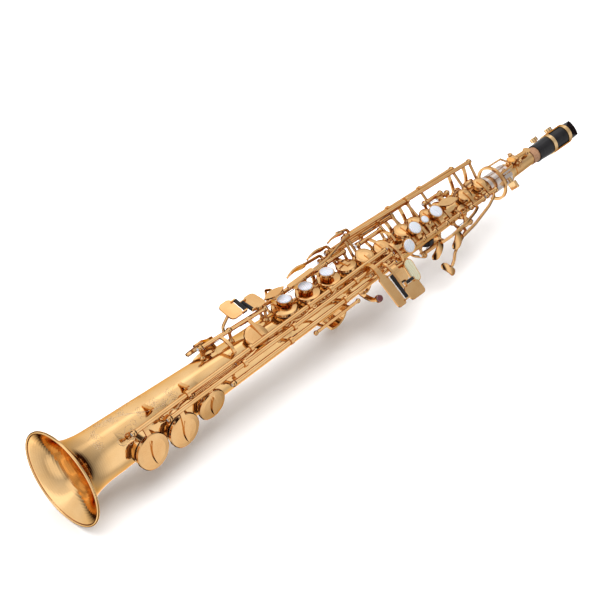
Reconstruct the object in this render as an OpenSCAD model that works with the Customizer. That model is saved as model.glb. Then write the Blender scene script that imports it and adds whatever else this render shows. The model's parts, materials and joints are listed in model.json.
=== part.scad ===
// Soprano saxophone, straight body with a detachable neck.
// The bore runs along +X from the bell mouth to the mouthpiece tip, and the origin is the
// centre of the bell mouth. The horn lies on its back with the finger buttons up (+Z).
// A place on the body is given as x along the bore, an angle phi and a radius r. Phi is
// measured round the bore from straight up, and is positive towards -Y, the left-hand side.
// Lengths are in mm. Every key is drawn in the position it rests in.

/* [Body] */
// Outside diameter of the bell rim
bell_d = 92; // [91:0.5:93]
// Outside diameter of the tube where the bell flare ends
throat_d = 47.3; // [47:0.1:47.6]
// Outside diameter of the tube at the neck end
top_d = 17.6; // [17.5:0.1:17.7]
// Thickness of the tube wall
wall = 0.8; // [0.6:0.1:1]

/* [Keywork] */
// Outside diameter of the hinge tubes
hinge_d = 4.2; // [3.8:0.1:4.3]
// Diameter of the steel hinge rods
rod_d = 2; // [1.6:0.1:2.2]
// Thickness of the key arms
arm_t = 1.8; // [1.5:0.1:2]
// Diameter of the large finger pearls
pearl_d = 13; // [12:0.1:13.4]
// How far the three large low keys stand open, in degrees
open_low = 11; // [8:0.5:12]
// How far the finger keys stand open, in degrees
open_stack = 5.5; // [4:0.5:6]

/* [Mouthpiece] */
// Distance from the bell mouth to the tip of the mouthpiece
total_len = 695; // [694:0.5:697]
// Outside diameter of the mouthpiece body
mouthpiece_d = 19.4; // [19:0.1:19.8]
// How far the mouthpiece is turned round the bore, in degrees
mouthpiece_turn = 38; // [34:1:42]

/* [Hidden] */
$fn = 48;
running = 0.06; // radial clearance between a rod and its hinge tube

// Tube
bell_len = 52;
rim = 1.3; // radius of the rolled rim
body_top = 548;
socket_x = 562; // the tube ends here, inside the receiver
flare = bell_d / 2 - throat_d / 2 - 0.6;
taper = (throat_d - top_d) / 2 / (body_top - bell_len);
function tube_r(x) = throat_d / 2 - (x - bell_len) * taper;
// The bell opens in a long gentle curve and, close to the mouth, a short steep lip
function bell_r(x) = let (t = min(1, (x - rim) / (bell_len - rim)))
    tube_r(x) - 0.6 + 0.6 * t + flare * (0.55 * pow(1 - t, 3.2) + 0.45 * pow(1 - t, 12));
function bell_slope(x) = (bell_r(x + 0.05) - bell_r(x - 0.05)) / 0.1;

// Neck and receiver
receiver_end = 578;
tenon_r = top_d / 2 - running;
neck_r = 8.4; // neck tube just past its collar
tip_r = 6.1; // neck tube under the mouthpiece
cork_x = [618, 646];
cork_r = 7.8;
function neck_tube_r(x) = neck_r - (neck_r - tip_r) * (x - 583) / (646 - 583);
neck_hinge = [594, 12.6]; // x and height of the neck octave key hinge

// Mouthpiece
shank_x = 627;
mouthpiece_r = mouthpiece_d / 2;
table_r = 6.6; // distance of the reed table from the bore axis
band_x = [648, 672]; // where the two ligature bands start
band_w = 4.6;
band_t = 0.9;
screw_r = 14; // distance of the ligature screws from the bore axis

// Cups and pads, measured outwards from the rim of the tone hole
rim_lift = 1.8; // rim above the tube along the top of the hole
pad_lap = 2; // the pad reaches this far past the hole
pad_t = 3;
cup_wall = 0.8;
cup_top = 4.9;
function rim_r(x) = tube_r(x) + rim_lift;
function cup_r(hole) = hole + pad_lap + 0.05 + cup_wall;

// Tone holes: [x, phi, radius of the hole]
low_bb_hole = [73, 88, 14];
low_b_hole = [110, 92, 13.2];
low_csharp_hole = [147, 90, 12];
low_c_hole = [180, -62, 11.6];
eb_hole = [219, 20, 8.6];
d_hole = [261, 3, 9.3];
e_hole = [291, 4, 9];
f_hole = [319, 3, 8.6];
fsharp_hole = [345, -4, 7.2];
trill_hole = [326, -100, 5];
g_hole = [367.5, 2, 6.6];
gsharp_hole = [391, 12, 7];
a_hole = [421.5, 0, 6.2];
bis_hole = [440, 0, 5];
b_hole = [457.5, 0, 5];
c_hole = [474.5, 0, 4.6];
side_bb_hole = [430, -92, 5.2];
side_c_hole = [450, -90, 5];
palm_d_hole = [494.5, 62, 4.4];
palm_eb_hole = [510, 16, 4.6];
palm_f_hole = [535, 10, 4.6];
side_e_hole = [519, -88, 4.6];
high_fsharp_hole = [534, -64, 4.2];
vent_hole = [498, -22, 1.4];
holes = [low_bb_hole, low_b_hole, low_csharp_hole, low_c_hole, eb_hole, d_hole, e_hole, f_hole,
    fsharp_hole, trill_hole, g_hole, gsharp_hole, a_hole, bis_hole, b_hole, c_hole,
    side_bb_hole, side_c_hole, palm_d_hole, palm_eb_hole, palm_f_hole, side_e_hole,
    high_fsharp_hole, vent_hole];

// Hinge lines: [first end, second end], each end being [x, phi, r]
bb_line = [[62, 42, 33], [379.7, 28.5, 31]];
b_line = [[97, 54, 33.5], [382.5, 41, 32]];
csharp_line = [[168, 66, 34], [379.7, 55, 33]];
csharp_cup_line = [[130, 46, 27], [180, 46, 26]];
c_line = [[168, -18.5, 30.5], [243, -11, 30.5]];
rh_line = [[246, -40, 26.5], [358, -40, 26.5]];
trill_line = [[262, -72, 28], [336, -72, 28]];
g_line = [[360, 56, 21.5], [418, 56, 21.5]];
lh_line = [[418, 56, 21.5], [484, 56, 21.5]];
gsharp_line = [[377, -42, 24], [408, -42, 24]];
gsharp_lever_line = [[382.4, 69, 28], [398.5, 69, 28]];
front_f_line = [[467, -30, 22.5], [490, -30, 22.5]];
vent_line = [[492, -52, 17.5], [504, -52, 17.5]];
palm_d_line = [[486, 108, 20], [502, 108, 20]];
palm_eb_line = [[505, 62, 19], [523, 62, 19]];
palm_f_line = [[529.5, 60, 18.5], [543, 60, 18.5]];
side_bb_line = [[342, -73, 33], [440, -73, 31]];
side_c_line = [[350, -62, 34.5], [460, -62, 33]];
side_e_line = [[374, -51, 37], [525, -51, 34.2]];
high_fsharp_line = [[366, -41, 36.5], [543, -38, 31.5]];
octave_line = [[442, 149, 19.6], [470, 149, 19.6]];
lines = [bb_line, b_line, csharp_line, csharp_cup_line, c_line, rh_line, trill_line, g_line,
    lh_line, gsharp_line, gsharp_lever_line, front_f_line, vent_line, palm_d_line,
    palm_eb_line, palm_f_line, side_bb_line, side_c_line, side_e_line, high_fsharp_line,
    octave_line];

// Posts that hold a hinge rod between the ends of its line: [line, x]
middle_posts = [[c_line, 201], [rh_line, 276], [rh_line, 305], [rh_line, 333],
    [lh_line, 433], [lh_line, 449], [lh_line, 466]];
// Open rings that steady a long hinge tube: [line, x]
guide_posts = [[bb_line, 124], [bb_line, 201], [bb_line, 276], [bb_line, 305],
    [b_line, 187], [b_line, 250], [b_line, 332.5], [csharp_line, 240], [csharp_line, 312],
    [side_bb_line, 396], [side_c_line, 418], [side_e_line, 433], [side_e_line, 478],
    [high_fsharp_line, 452]];
post_r = 3; // ball on top of a post
post_w = 2.2; // half the width of a ball between its flats
gap = 0.15; // end play of a hinge tube

// Left-hand little-finger table, a plane tilted at 45 degrees beside the body
table_at = [-33, 19];
function on_table(s, n) = table_at + sqrt(0.5) * [-s - n, n - s];

// Right-hand little-finger plates
rh_plate_z = 35;

// ---------------------------------------------------------------- places

function yz(phi, r) = [-r * sin(phi), r * cos(phi)];
function unit(v) = v / norm(v);

// The point of a hinge line at x, and the direction of the line
function on(l, x) = let (a = l[0], b = l[1], t = (x - a[0]) / (b[0] - a[0]),
    p = yz(a[1], a[2]), q = yz(b[1], b[2]), m = p + (q - p) * t) [x, m[0], m[1]];
function dir(l) = unit(on(l, l[1][0]) - on(l, l[0][0]));
function yz_of(p) = [p[1], p[2]];

// A point beside a hinge line at x, far enough off it to pass the ball of a post
function beside(l, x, phi, r = 5.2) = let (v = yz(phi, r)) on(l, x) + [0, v[0], v[1]];

// Puts children at a place round the bore: X along the bore, Y round it, Z outwards
module at(x, phi, r = 0)
    translate([x, 0, 0]) rotate([phi, 0, 0]) translate([0, 0, r]) children();

// Puts children drawn along +Z on a hinge line at x
module along(l, x) let (d = dir(l))
    translate(on(l, x)) rotate([0, acos(d[2]), atan2(d[1], d[0])]) children();

// Turns children about a hinge line
module swung(l, a) let (p = on(l, l[0][0]))
    translate(p) rotate(a = a, v = dir(l)) translate(-p) children();

// Children drawn on the little-finger table: X along the bore, -Y outwards, Z off the plate
module on_table_plane() translate([0, table_at[0], table_at[1]]) rotate([45, 0, 0]) children();

// ---------------------------------------------------------------- shapes

module rod_x(x0, x1, r) translate([x0, 0, 0]) rotate([0, 90, 0]) cylinder(r = r, h = x1 - x0);

module cone_x(x0, x1, r0, r1)
    translate([x0, 0, 0]) rotate([0, 90, 0]) cylinder(r1 = r0, r2 = r1, h = x1 - x0);

module bar(p, q, r) let (d = unit(q - p))
    translate(p) rotate([0, acos(d[2]), atan2(d[1], d[0])]) cylinder(r = r, h = norm(q - p));

// Points along a path with each bend rounded, starting up to c before its corner
function eased(p, c) = concat([p[0]], [for (i = [1:len(p) - 2]) let (
    m = min(c, 0.4 * norm(p[i - 1] - p[i]), 0.4 * norm(p[i + 1] - p[i])))
    each bend(p[i] + m * unit(p[i - 1] - p[i]), p[i], p[i] + m * unit(p[i + 1] - p[i]), 3)],
    [p[len(p) - 1]]);

// Direction of a path at one of its points
function heading(p, i) = unit((i == 0 ? [0, 0, 0] : unit(p[i] - p[i - 1]))
    + (i == len(p) - 1 ? [0, 0, 0] : unit(p[i + 1] - p[i])));

// One side vector at each point of a path, carried along without twist
function carried(p, i, u) = i == len(p) ? [] : let (d = heading(p, i), w = unit(u - (u * d) * d))
    concat([w], carried(p, i + 1, w));

wire_sides = 12;

// A bent round bar, with its far end drawn in
module wire(pts, r) {
    path = eased(concat(pts, [pts[len(pts) - 1] + 0.8 * heading(pts, len(pts) - 1)]), 2.4);
    start = heading(path, 0);
    side = carried(path, 0, cross(start, abs(start[0]) < 0.8 ? [1, 0, 0] : [0, 1, 0]));
    rings = [for (i = [0:len(path) - 1]) let (w = cross(heading(path, i), side[i]),
        q = i == len(path) - 1 ? 0.55 * r : r) for (k = [0:wire_sides - 1]) let (a = 360 / wire_sides * k)
        path[i] + q * (cos(a) * side[i] + sin(a) * w)];
    polyhedron(rings, concat([[for (k = [0:wire_sides - 1]) k]],
        [[for (k = [wire_sides - 1:-1:0]) (len(path) - 1) * wire_sides + k]],
        [for (i = [0:len(path) - 2], k = [0:wire_sides - 1], half = [0, 1]) let (
            a = i * wire_sides + k, b = i * wire_sides + (k + 1) % wire_sides)
            half == 0 ? [a, a + wire_sides, b] : [b, a + wire_sides, b + wire_sides]]));
}

// Points along a curve from a to b that leans towards c
function bend(a, c, b, n = 6) =
    [for (i = [0:n]) let (u = i / n) (1 - u) * (1 - u) * a + 2 * u * (1 - u) * c + u * u * b];
function side_of(p, i) = let (d = unit(p[min(i + 1, len(p) - 1)] - p[max(i - 1, 0)])) [-d[1], d[0]];
function strip(p, t) = concat(
    [for (i = [0:len(p) - 1]) p[i] + side_of(p, i) * t / 2],
    [for (i = [len(p) - 1:-1:0]) p[i] - side_of(p, i) * t / 2]);

// A flat strap across the bore at x, following points in the YZ plane
module arm(x, w, pts, t = arm_t)
    translate([x - w / 2, 0, 0]) rotate([90, 0, 90]) linear_extrude(w) polygon(strip(pts, t));

// A flat plate with rounded corners, centred, standing on z = 0
module slab(w, l, t, r) {
    translate([-w / 2 + r, -l / 2, 0]) cube([w - 2 * r, l, t]);
    translate([-w / 2, -l / 2 + r, 0]) cube([w, l - 2 * r, t]);
    for (i = [-1, 1], j = [-1, 1])
        translate([i * (w / 2 - r), j * (l / 2 - r), 0]) cylinder(r = r, h = t);
}

// A pointed leaf, long in Y
module leaf(l, w, t) let (r = (l * l / w + w) / 4) intersection() {
    translate([r - w / 2, 0, 0]) cylinder(r = r, h = t, $fn = 96);
    translate([w / 2 - r, 0, 0]) cylinder(r = r, h = t, $fn = 96);
}

// A touch piece domed like the back of a spoon, long in Y
module spoon(w, l, r = 24, t = 1.6) intersection() {
    translate([0, 0, -r]) difference() {
        sphere(r = r, $fn = 96);
        sphere(r = r - t, $fn = 96);
    }
    translate([0, 0, -8]) slab(w, l, 9, w / 2 - 0.01);
}

// ---------------------------------------------------------------- key parts

module hinge_tube(l, x0, x1)
    along(l, x0) cylinder(d = hinge_d, h = norm(on(l, x1) - on(l, x0)));

module hinge_bore(l)
    along(l, l[0][0]) cylinder(r = rod_d / 2 + running, h = norm(on(l, l[1][0]) - on(l, l[0][0])));

// Everything of a key but its pad, with the hinge bored out and the seats of its pad and
// its pearl cleared
module key_frame(l, x0, x1, h = [], seat = []) difference() {
    union() {
        hinge_tube(l, x0 + post_w + gap, x1 - post_w - gap);
        children();
    }
    hinge_bore(l);
    if (h != []) at(h[0], h[1], rim_r(h[0]) - 3)
        cylinder(r = h[2] + pad_lap + 0.05, h = pad_t + 3.1);
    if (seat != []) at(seat[0], seat[1], seat[2] + 0.8) cylinder(r = seat[3] / 2 + 0.05, h = 6);
}

module cup(h) at(h[0], h[1], rim_r(h[0])) let (r = cup_r(h[2]))
    rotate_extrude() polygon([[0, pad_t + 0.1], [r - cup_wall, pad_t + 0.1],
        [r - cup_wall, 1.4], [r, 1.4], [r, 3.5], [r - 0.7, 4.1], [r * 0.72, 4.55],
        [r * 0.4, 4.8], [0, cup_top]]);

module pad(h) at(h[0], h[1], rim_r(h[0]) + 0.08) cylinder(r = h[2] + pad_lap, h = pad_t);

// Strap from a hinge line over the top of a closed cup, as far as reach past its centre
module cup_arm(l, x, h, w = 4, reach = 0, lean = 0.8) {
    top = rim_r(h[0]) + cup_top;
    mid = yz(h[1], top);
    across = [cos(h[1]), sin(h[1])];
    t = across * sign((yz_of(on(l, x)) - mid) * across);
    arm(x, w, concat(bend(yz_of(on(l, x)), mid + t * cup_r(h[2]) * lean + yz(h[1], 1), mid),
        reach > 0 ? [mid - t * reach] : []));
}

// Leaf-shaped stiffener on the crown of a large cup
module crown(h, l, w) at(h[0], h[1], rim_r(h[0]) + cup_top - 0.6) leaf(l, w, 2);

// Round brass holder for a finger pearl, and the pearl in it
module pearl_cup(x, phi, r, d) at(x, phi, r) difference() {
    cylinder(r = d / 2 + 0.9, h = 2.2);
    translate([0, 0, 0.8]) cylinder(r = d / 2 + 0.05, h = 2);
}
module pearl(x, phi, r, d) at(x, phi, r) let (q = d / 2) rotate_extrude() polygon([[0, 0.82],
    [q, 0.82], [q, 2.5], [q - 0.5, 3], [q * 0.7, 3.3], [q * 0.35, 3.45], [0, 3.5]]);
module stalk(x, phi, r0, r1, r) at(x, phi, r0) cylinder(r = r, h = r1 - r0);

// ---------------------------------------------------------------- body

module bell() color("goldenrod") {
    steps = 26;
    start = rim + 0.5; // the wall ends inside the rolled rim
    xs = [for (i = [0:steps]) start + (bell_len - start) * pow(i / steps, 1.5)];
    rotate([90, 0, 90]) {
        rotate_extrude($fn = 96) polygon(concat([for (x = xs) [bell_r(x), x]],
            [[bell_r(bell_len) - wall, bell_len]],
            [for (i = [steps - 1:-1:0]) let (s = bell_slope(xs[i]), k = sqrt(1 + s * s))
                [bell_r(xs[i]) - wall / k, xs[i] + wall * s / k]]));
        rotate_extrude($fn = 96) translate([bell_d / 2 - rim, rim]) circle(r = rim);
    }
}

module body_tube() color("goldenrod") difference() {
    union() {
        cone_x(bell_len, body_top, tube_r(bell_len), tube_r(body_top));
        rod_x(body_top, socket_x, top_d / 2);
        for (h = holes) at(h[0], h[1], 1) cylinder(r = h[2] + 0.9, h = rim_r(h[0]) - 1);
    }
    cone_x(bell_len, body_top, tube_r(bell_len) - wall, tube_r(body_top) - wall);
    rod_x(body_top, socket_x, top_d / 2 - wall);
    for (h = holes) at(h[0], h[1], 2) cylinder(r = h[2], h = 40);
}

module outside_tube(x) intersection() {
    children();
    difference() {
        translate([x - 16, -60, -60]) cube([32, 120, 120]);
        cone_x(bell_len, body_top, tube_r(bell_len), tube_r(body_top));
    }
}

// Feet are smaller where four posts stand side by side
function foot_r(x) = x > 379 && x < 384 ? 1.95 : 3;

module post_stem(l, x) let (p = on(l, x), phi = atan2(-p[1], p[2]), r = norm(yz_of(p))) {
    at(x, phi, tube_r(x) - 1) cylinder(r = 1.5, h = r - tube_r(x) + 1);
    at(x, phi, tube_r(x) - 1.5) cylinder(r = foot_r(x), h = 2.3);
    at(x, phi, tube_r(x) + 0.7) cylinder(r1 = foot_r(x) - 0.4, r2 = 1.5, h = 2.2);
}

module post(l, x, stem = true) outside_tube(x) difference() {
    union() {
        if (stem) post_stem(l, x);
        along(l, x) intersection() {
            sphere(r = post_r);
            translate([0, 0, -post_w]) cylinder(r = post_r + 1, h = 2 * post_w);
        }
    }
    along(l, x) translate([0, 0, -4]) cylinder(d = rod_d, h = 8);
}

module guide_post(l, x) outside_tube(x) difference() {
    union() {
        post_stem(l, x);
        along(l, x) translate([0, 0, -1.6]) cylinder(r = 3.4, h = 3.2);
    }
    along(l, x) translate([0, 0, -4]) cylinder(r = hinge_d / 2 + 0.08, h = 8);
}

// Foot strap that lies on the body beside the two long left-hand rods
module foot_strap(x, phi0, phi1) outside_tube(x) {
    arm(x, 3.4, [for (i = [0:6]) yz(phi0 + (phi1 - phi0) * i / 6, tube_r(x) + 0.6 + i * i * 0.17)], 1.4);
    at(x, phi1, tube_r(x) - 1) cylinder(r = 1.3, h = 7.5);
}

// Fixed rail with ball ends, beside the lower stack
rail = [[268, -33.6, 9], [324, -33, 11.6]];

module key_posts() color("goldenrod") {
    for (l = lines, i = [0, 1]) if (!(l == lh_line && i == 0)) post(l, l[i][0], l != csharp_line || i == 0);
    // the upper end of the low C-sharp rod is carried by its neighbour's post
    bar(beside(csharp_line, csharp_line[1][0], -104, 2.3), [b_line[1][0], -18.6, 21], 1.3);
    for (p = middle_posts) post(p[0], p[1]);
    for (p = guide_posts) guide_post(p[0], p[1]);
    foot_strap(91, 4, 27);
    foot_strap(131, 8, 30);
    bar(rail[0], rail[1], 1.5);
    for (p = rail) translate(p) sphere(r = 2.3);
    for (x = [279, 313]) outside_tube(x)
        let (p = rail[0] + (rail[1] - rail[0]) * (x - rail[0][0]) / (rail[1][0] - rail[0][0]))
        at(x, atan2(-p[1], p[2]), tube_r(x) - 1) cylinder(r = 1.4, h = norm(yz_of(p)) - tube_r(x) + 1);
    outside_tube(346) bumper_bracket();
}

bumper_at = [347, 15, -8.4]; // x, and place on the little-finger table, below the plate

module bumper_bracket() {
    p = on_table(bumper_at[1], bumper_at[2]);
    arm(346, 5, bend(yz(96, 13.5), yz(102, 30), p), 1.8);
    on_table_plane() translate([bumper_at[0], -bumper_at[1], bumper_at[2] - 1])
        cylinder(r = 3.6, h = 2);
}

module felt_bumpers() color("maroon") {
    on_table_plane() translate([bumper_at[0], -bumper_at[1], bumper_at[2] + 1])
        cylinder(r = 3, h = 2.2);
}

module hinge_rods() color("silver") for (l = lines) if (l != lh_line) let (
    end = l == g_line ? lh_line : l,
    len = norm(on(end, end[1][0]) - on(l, l[0][0])) + 2 * post_w)
    along(l, l[0][0]) {
        translate([0, 0, -post_w]) cylinder(d = rod_d, h = len);
        translate([0, 0, -post_w - 0.7]) cylinder(r = 1.6, h = 0.7);
        translate([0, 0, len - post_w]) cylinder(r = 1.6, h = 0.7);
    }

module thumb_hook() color("goldenrod") outside_tube(328) {
    rotate([90, 0, 0]) translate([0, 0, -10]) linear_extrude(18) polygon(strip(concat(
        [[336, -13]], bend([336, -18], [337, -30], [329, -33.6]), bend([327, -34.6], [322, -36], [316.5, -33.4])), 2.4));
    translate([336, 1, 0]) rotate([180, 0, 0]) translate([0, 0, tube_r(336) - 2.5]) slab(11, 15, 3.4, 3);
}

module thumb_rest() color("black") outside_tube(456) at(456, 172, tube_r(456) - 2) {
    cylinder(r = 8, h = 5);
    translate([0, 0, 5]) rotate_extrude() polygon([[0, 0], [8, 0], [7.4, 0.9], [5, 1.6], [0, 2]]);
}

ring_at = [372, 180, 21.5]; // centre of the strap ring, behind the body
ring_hole = 4.5;

module strap_ring() color("goldenrod") outside_tube(ring_at[0]) difference() {
    union() {
        at(ring_at[0], ring_at[1], ring_at[2]) rotate([90, 0, 0])
            translate([0, 0, -1.4]) cylinder(r = ring_hole + 2, h = 2.8);
        at(ring_at[0], ring_at[1], tube_r(ring_at[0]) - 1.5) slab(18, 8, 2.8, 3);
    }
    at(ring_at[0], ring_at[1], ring_at[2]) rotate([90, 0, 0])
        translate([0, 0, -5]) cylinder(r = ring_hole, h = 10);
}

// ---------------------------------------------------------------- neck end

clamp_phi = 40; // side of the receiver that carries the clamp screw
clamp_screw = [571, 11.4]; // x, and distance of the clamp screw from the bore axis

module neck_receiver() color("silver") difference() {
    union() {
        rod_x(546.2, receiver_end, top_d / 2 + 1.6);
        rod_x(546.2, 549.7, top_d / 2 + 2.3);
        rod_x(574.5, receiver_end, top_d / 2 + 2.4);
        at(clamp_screw[0], clamp_phi, 7) translate([-5.5, -4.2, 0]) cube([11, 8.4, 6.4]);
    }
    cone_x(540, body_top, tube_r(540), tube_r(body_top));
    rod_x(body_top, receiver_end + 1, top_d / 2);
    at(565, clamp_phi, 0) translate([0, -0.6, 6]) cube([20, 1.2, 20]);
    at(clamp_screw[0], clamp_phi, clamp_screw[1]) rotate([90, 0, 0])
        translate([0, 0, -9]) cylinder(r = 1.56, h = 18);
}

module receiver_screw() color("gold")
    at(clamp_screw[0], clamp_phi, clamp_screw[1]) rotate([-90, 0, 0]) {
        translate([0, 0, -6]) cylinder(r = 1.5, h = 12);
        translate([0, 0, -9.8]) cylinder(r = 1.9, h = 5.4);
        translate([0, 0, -17.2]) slab(3, 12.4, 7.6, 1.4);
    }

module neck_tube() color("goldenrod") difference() {
    union() {
        rod_x(socket_x + 0.4, receiver_end + 1, tenon_r);
        rod_x(receiver_end + 0.3, receiver_end + 4, top_d / 2 + 1.4);
        cone_x(receiver_end + 4, 646, neck_tube_r(582), tip_r);
        at(612, 0, 2) cylinder(r = 2.2, h = neck_tube_r(612));
        translate([receiver_end + 2.2, 0, 0]) at(0, 180, 0) cylinder(r = 2.2, h = 11);
    }
    rod_x(socket_x, receiver_end + 4, top_d / 2 - 1.6);
    cone_x(receiver_end + 3.9, 647, top_d / 2 - 1.6, tip_r - 0.9);
    at(612, 0, 3) cylinder(r = 0.9, h = 12);
}

module neck_cork() color("peru") difference() {
    rod_x(cork_x[0], cork_x[1], cork_r);
    cone_x(cork_x[0] - 1, 646, neck_tube_r(cork_x[0] - 1), tip_r);
}

// Two small posts, on a plate round the top of the neck, that carry the octave key hinge
module neck_key_saddle() color("goldenrod") difference() {
    union() {
        for (s = [-1, 1]) {
            translate([neck_hinge[0], s * 6.4, 0]) cylinder(r = 1.4, h = neck_hinge[1]);
            translate([neck_hinge[0], s * 6.4, neck_hinge[1]]) sphere(r = 2.5);
        }
        rod_x(neck_hinge[0] - 5, neck_hinge[0] + 5, neck_tube_r(594) + 0.9);
    }
    cone_x(583, 646, neck_tube_r(583), tip_r);
    translate([580, -20, -30]) cube([30, 40, 30]);
    translate([neck_hinge[0], 10, neck_hinge[1]]) rotate([90, 0, 0]) cylinder(r = 1.05, h = 20);
}

module neck_octave_key() color("goldenrod") {
    difference() {
        union() {
            translate([neck_hinge[0], 3.6, neck_hinge[1]]) rotate([90, 0, 0])
                cylinder(d = 4, h = 7.2);
            rotate([90, 0, 0]) translate([0, 0, -2]) linear_extrude(4) polygon(strip(concat(
                bend([581, 12.2], [587, 13.2], [594, 12.9]), [[603, 12.4], [614, 12.2]]), 1.6));
            translate([587.2, 0, 12.7]) cylinder(r = 4.6, h = 1.5);
            translate([612, 0, 11.2]) cylinder(r = 3.9, h = 2);
            for (s = [-1, 1]) {
                bar([584, s * 0.8, 12.4], [578.8, s * 7.6, 15.3], 1.1);
                bar([579.4, s * 7.38, 15.21], [559, s * 8.5, 14.7], 1);
            }
            difference() {
                rod_x(557.5, 560.3, 18.2);
                rod_x(556, 562, 15.6);
            }
        }
        translate([neck_hinge[0], 10, neck_hinge[1]]) rotate([90, 0, 0]) cylinder(r = 1.06, h = 20);
    }
    // its pad, over the pip
    translate([612, 0, neck_tube_r(612) + 2.05]) cylinder(r = 3.1, h = 11.17 - neck_tube_r(612) - 2.05);
    // its hinge screw
    translate([neck_hinge[0], 9.4, neck_hinge[1]]) rotate([90, 0, 0]) cylinder(r = 1, h = 18.8);
}

// ---------------------------------------------------------------- mouthpiece

// Puts children in the frame of the mouthpiece, with the reed towards -Z
module mouthpiece_frame() rotate([mouthpiece_turn, 0, 0]) children();

module mouthpiece() color("black") mouthpiece_frame() difference() {
    union() {
        cone_x(shank_x, 633, 9.1, 9.1);
        cone_x(633, 645, 9.1, mouthpiece_r);
        cone_x(645, 672, mouthpiece_r, mouthpiece_r);
        cone_x(672, total_len, mouthpiece_r, 8.3);
    }
    // cork socket, throat and tone chamber
    rod_x(shank_x - 1, 650, cork_r + 0.04);
    rod_x(649, 676, 5.6);
    cone_x(675.9, 686, 5.6, 4.8);
    // the beak slopes down to the tip
    translate([674, -20, 10.4]) rotate([0, 28, 0]) cube([40, 40, 30]);
    // the reed table
    translate([652, -20, -30]) cube([60, 40, 30 - table_r]);
    // window under the reed
    translate([664, -4.6, -10]) cube([29.4, 9.2, 8]);
    // rounded tip
    difference() {
        translate([684, -20, -20]) cube([20, 40, 40]);
        translate([684, 0, -20]) cylinder(r = 11, h = 40, $fn = 96);
    }
}

module reed() color("wheat") mouthpiece_frame() intersection() {
    rotate([90, 0, 0]) translate([0, 0, -6.4]) linear_extrude(12.8) polygon([[652.1, -table_r - 0.02],
        [694, -table_r - 0.02], [694, -table_r - 0.3], [688, -table_r - 0.5],
        [678, -table_r - 2.2], [676, -table_r - 2.7], [652.1, -table_r - 2.7]]);
    rod_x(640, 700, mouthpiece_r - 0.05);
    union() {
        translate([640, -20, -20]) cube([44, 40, 40]);
        translate([684, 0, -20]) cylinder(r = 10.4, h = 40, $fn = 96);
    }
}

module lig_ring(x, w) difference() {
    rod_x(x, x + w, mouthpiece_r + band_t);
    rod_x(x - 1, x + w + 1, mouthpiece_r + 0.03);
}

module ligature() color("gold") mouthpiece_frame() difference() {
    union() {
        for (x = band_x) {
            lig_ring(x, band_w);
            // lugs for the screw, on the reed side
            for (s = [-1, 1]) translate([x, s * 4.6 - 1.5, -screw_r - 2.6]) cube([band_w, 3, 8.5]);
        }
        // side rails and the plate that presses the reed
        difference() {
            lig_ring(band_x[0], band_x[1] - band_x[0] + band_w);
            for (s = [0, 180]) rotate([s, 0, 0])
                translate([640, -9.3, 0]) cube([60, 18.6, 30]);
        }
        translate([band_x[0], -3.2, -table_r - 3.5]) cube([band_x[1] - band_x[0] + band_w, 6.4, 0.74]);
    }
    // the bands are open between the lugs
    translate([640, -2.6, -20]) cube([60, 5.2, 20 - table_r - 3.52]);
    for (x = band_x) translate([x + band_w / 2, 12, -screw_r]) rotate([90, 0, 0])
        cylinder(r = 1.26, h = 24);
    // room for the mouthpiece body
    rod_x(640, 690, mouthpiece_r + 0.02);
}

// Screws run across the ligature, with their heads on the right-hand side
module lig_screw(x) mouthpiece_frame() translate([x + band_w / 2, 0, -screw_r]) rotate([-90, 0, 0]) {
    translate([0, 0, -6.4]) cylinder(r = 1.2, h = 13.4);
    translate([0, 0, 6.4]) cylinder(r = 2, h = 4);
    translate([0, 0, 10.3]) cylinder(r = 4.1, h = 4.4);
}

module ligature_screw_rear() color("gold") lig_screw(band_x[0]);
module ligature_screw_front() color("gold") lig_screw(band_x[1]);

// ---------------------------------------------------------------- low keys

module low_bb_key() color("goldenrod") swung(bb_line, -open_low) {
    key_frame(bb_line, 62, 379.7, low_bb_hole) {
        cup(low_bb_hole);
        cup_arm(bb_line, 73, low_bb_hole, 4.4);
        crown(low_bb_hole, 24, 5.4);
        arm(352, 5, concat([yz_of(on(bb_line, 352))],
            bend(on_table(-15, -2), on_table(-12, 4), on_table(2, 2.2))));
        on_table_plane() {
            translate([352.6, -16.5, 1.2]) slab(10.4, 33, 1.9, 3);
            for (s = [4, 30.5]) translate([357, -s, 1.2]) cube([6.4, 1.4, 3.4]);
            translate([361.4, -3, 2.9]) rotate([90, 0, 0]) cylinder(r = 0.7, h = 27);
        }
    }
    pad(low_bb_hole);
}

module roller(x, s0, s1, n, r = 1.8) on_table_plane() translate([x, -s0, n]) rotate([90, 0, 0])
    difference() {
        cylinder(r = r, h = s1 - s0);
        translate([0, 0, -1]) cylinder(r = 0.76, h = s1 - s0 + 2);
    }

module low_bb_roller() color("black") swung(bb_line, -open_low) roller(361.4, 4.2, 28.9, 2.9);

module low_b_key() color("goldenrod") swung(b_line, -open_low) {
    key_frame(b_line, 97, 382.5, low_b_hole) {
        cup(low_b_hole);
        cup_arm(b_line, 110, low_b_hole, 4.4);
        crown(low_b_hole, 23, 5.2);
        arm(366.4, 2.4, concat([yz_of(on(b_line, 366.4))], bend(on_table(-9, -1), on_table(-6, 2.2),
            on_table(3, 1.7)), [on_table(20, 1.7)]));
        on_table_plane() {
            translate([375, -26.6, 0.9]) slab(19.4, 15, 1.7, 4);
            for (x = [369.2, 380.2]) translate([x, -20.4, 1.4]) cube([1.2, 4.4, 3]);
            translate([369.8, -17.2, 3.1]) rotate([0, 90, 0]) cylinder(r = 0.6, h = 11);
        }
    }
    pad(low_b_hole);
}

module low_b_roller() color("black") swung(b_line, -open_low) on_table_plane()
    translate([370.6, -17.2, 3.1]) rotate([0, 90, 0]) difference() {
        cylinder(r = 1.6, h = 9.4);
        translate([0, 0, -1]) cylinder(r = 0.66, h = 12);
    }

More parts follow.
